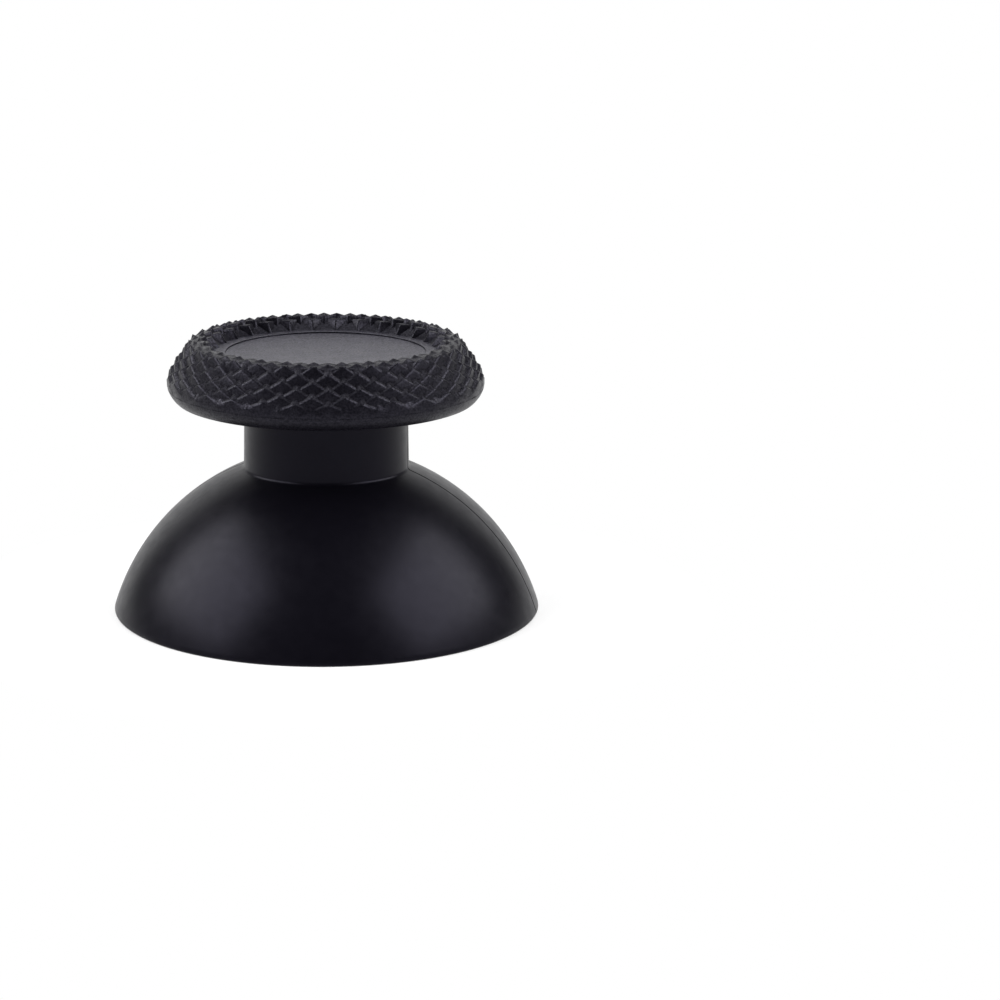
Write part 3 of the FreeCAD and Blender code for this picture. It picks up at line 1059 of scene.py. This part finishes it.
# Margins of the faces that take a piece's second material, in drawn units: beyond the
# dome's inner wall and the hub, below the plate's top, and above the grip's seat
INNER_WALL_MARGIN = 0.05
HUB_MARGIN = 0.005
ROOF_MARGIN = 1
SEAT_MARGIN = 0.1
# A face looks up if its normal rises at least this much.
LEVEL = 0.9

# The stage, in metres and degrees. The floor and the backdrop keep the cap's shadow up to
# the first of their two distances from the cap, and are white from the second on.
FLOOR_SIZE = 6
FLOOR_FADE = (0.0115, 0.022)
BACKDROP_PLACE = (-0.087, 0.44, 0.14)
BACKDROP_TURN = 11.2
BACKDROP_SIZE = (0.7, 0.28, 1)
BACKDROP_FADE = (0.1, 0.2)
# Each lamp's place, width and depth, and power
LAMPS = {
    "lamp above": ((-0.02, 0.10, 0.44), (0.30, 0.24), 0.6),
    "lamp behind": ((-0.07, 0.37, 0.34), (0.34, 0.14), 0.3),
    "lamp left": ((-0.319, -0.087, 0.25), (0.46, 0.30), 2.4),
    "lamp right": ((0.330, -0.006, 0.25), (0.46, 0.30), 2.3),
}
LAMP_AIM = Vector((0, 0, 0.006))
ROOM_LIGHT = 0.05
CAMERA_PLACE = (0.0329329, -0.1663233, 0.04932404)
CAMERA_HEADING = 7.905
CAMERA_TILT = 75.705
CAMERA_ROLL = 0.496
CAMERA_LENS = 111.784


class CAP_OT_body(bpy.types.Operator):
    """Models the hard body: dome, hub, ribs, socket, stem and head plate"""
    bl_idname = "cap.body"
    bl_label = "Body"
    bl_options = {"REGISTER", "UNDO"}

    def execute(self, context):
        s = drawn_sizes(context)
        body = draw_body(s)
        combine(body, draw_ribs(s), "UNION")
        combine(body, draw_slots(s), "DIFFERENCE")
        combine(body, draw_socket(s), "DIFFERENCE")
        combine(body, draw_mark(s), "DIFFERENCE")
        edit(body)
        weld()
        deselect_objects()
        if len(body.data.polygons) < FEWEST_FACES:
            raise RuntimeError("the body lost its faces")
        materials = [satin_plastic(s), glossy_plastic(s)]
        finish_piece(body, materials, "stick_body", sharp=35)
        inside = (s.inner_radius + INNER_WALL_MARGIN) / DRAWN_SCALE
        hub = (s.hub_radius + HUB_MARGIN) / DRAWN_SCALE
        roof = (s.plate_top - ROOF_MARGIN) / DRAWN_SCALE
        centre = s.dome_centre / DRAWN_SCALE
        for face in body.data.polygons:
            middle = face.center
            in_hub = middle.xy.length < hub and middle.z < roof
            if (middle - centre).length < inside or in_hub:
                face.material_index = 1
        return {"FINISHED"}


class CAP_OT_grip(bpy.types.Operator):
    """Models the soft grip: the knurled ring and the finger dish inside it"""
    bl_idname = "cap.grip"
    bl_label = "Grip"
    bl_options = {"REGISTER", "UNDO"}

    def execute(self, context):
        s = drawn_sizes(context)
        grip = draw_grip(s)
        if len(grip.data.polygons) < FEWEST_FACES:
            raise RuntimeError("the grip lost its faces")
        materials = [
            soft_plastic(
                s, "matte soft plastic", roughness=0.36, gloss=0.18, feature=0.0001,
                depth=0.000005, lift=0.8,
            ),
            # The dish is the same soft plastic as the ring, its colour lifted to twice the
            # ring's: painted light.
            soft_plastic(
                s, "grained dish painted lighter", roughness=0.36, gloss=0.66, feature=0.00014,
                depth=0.00005, lift=1.6,
            ),
        ]
        finish_piece(grip, materials, "grip_cap", sharp=25)
        ledge = (s.ledge_radius + s.ledge_scallop) / DRAWN_SCALE
        seat = (s.plate_top + SEAT_MARGIN) / DRAWN_SCALE
        # The dish's faces that look up take the lighter copy of the grip's material,
        # painted light.
        for face in grip.data.polygons:
            level = face.normal.z > LEVEL and face.center.z > seat
            if level and face.center.xy.length < ledge:
                face.material_index = 1
        return {"FINISHED"}


class CAP_OT_stage(bpy.types.Operator):
    """Adds the pale floor, the soft studio light and the camera"""
    bl_idname = "cap.stage"
    bl_label = "Stage"
    bl_options = {"REGISTER", "UNDO"}

    def execute(self, context):
        s = drawn_sizes(context)
        scene = context.scene
        deselect_objects()
        bpy.ops.mesh.primitive_plane_add(size=FLOOR_SIZE, location=(0, 0, 0))
        floor = context.object
        floor.name = "floor"
        floor.data.materials.append(pale_stage(s, "pale floor", *FLOOR_FADE))

        bpy.ops.mesh.primitive_plane_add(
            size=1, location=BACKDROP_PLACE,
            rotation=(math.radians(90), 0, math.radians(BACKDROP_TURN)),
        )
        backdrop = context.object
        backdrop.name = "backdrop"
        backdrop.scale = BACKDROP_SIZE
        bpy.ops.object.transform_apply(location=True, rotation=True, scale=True)
        backdrop.data.materials.append(pale_stage(s, "pale backdrop", *BACKDROP_FADE))

        for name, (place, size, power) in LAMPS.items():
            bpy.ops.object.light_add(type="AREA", location=place)
            lamp = context.object
            lamp.name = name
            lamp.data.shape = "RECTANGLE"
            lamp.data.size, lamp.data.size_y = size
            lamp.data.energy = power
            lamp.visible_camera = False
            aim = LAMP_AIM - Vector(place)
            lamp.rotation_euler = aim.to_track_quat("-Z", "Y").to_euler()

        world = bpy.data.worlds.new("soft room")
        world.use_nodes = True
        background = world.node_tree.nodes["Background"]
        background.inputs["Color"].default_value = (1, 1, 1, 1)
        background.inputs["Strength"].default_value = ROOM_LIGHT
        scene.world = world
        scene.view_settings.view_transform = "Standard"

        bpy.ops.object.camera_add(location=CAMERA_PLACE)
        camera = context.object
        camera.name = "camera"
        turn = (Matrix.Rotation(math.radians(CAMERA_HEADING), 4, "Z")
                @ Matrix.Rotation(math.radians(CAMERA_TILT), 4, "X")
                @ Matrix.Rotation(math.radians(CAMERA_ROLL), 4, "Z"))
        camera.rotation_euler = turn.to_euler()
        camera.data.sensor_width = 36
        camera.data.lens = CAMERA_LENS
        camera.data.clip_start = 0.01
        camera.data.clip_end = 20
        scene.camera = camera
        return {"FINISHED"}


class CAP_PT_panel(bpy.types.Panel):
    """Lists the pieces of the cap and its stage"""
    bl_idname = "CAP_PT_panel"
    bl_label = "Thumbstick cap"
    bl_space_type = "VIEW_3D"
    bl_region_type = "UI"
    bl_category = "Thumbstick cap"

    def draw(self, context):
        layout = self.layout
        for operator in (CAP_OT_body, CAP_OT_grip, CAP_OT_stage):
            layout.operator(operator.bl_idname)
        scene = context.scene
        for group in (scene.cap_body, scene.cap_grip, scene.cap_looks):
            box = layout.box()
            for name in group.__annotations__:
                box.prop(group, name)


CLASSES = (
    BodySizes, GripSizes, CapLooks, CAP_OT_body, CAP_OT_grip, CAP_OT_stage, CAP_PT_panel,
)


def register():
    for item in CLASSES:
        bpy.utils.register_class(item)
    bpy.types.Scene.cap_body = PointerProperty(type=BodySizes)
    bpy.types.Scene.cap_grip = PointerProperty(type=GripSizes)
    bpy.types.Scene.cap_looks = PointerProperty(type=CapLooks)


def unregister():
    del bpy.types.Scene.cap_looks
    del bpy.types.Scene.cap_grip
    del bpy.types.Scene.cap_body
    for item in reversed(CLASSES):
        bpy.utils.unregister_class(item)


def main():
    register()
    bpy.ops.cap.body()
    bpy.ops.cap.grip()
    bpy.ops.cap.stage()


if __name__ == "__main__":
    main()
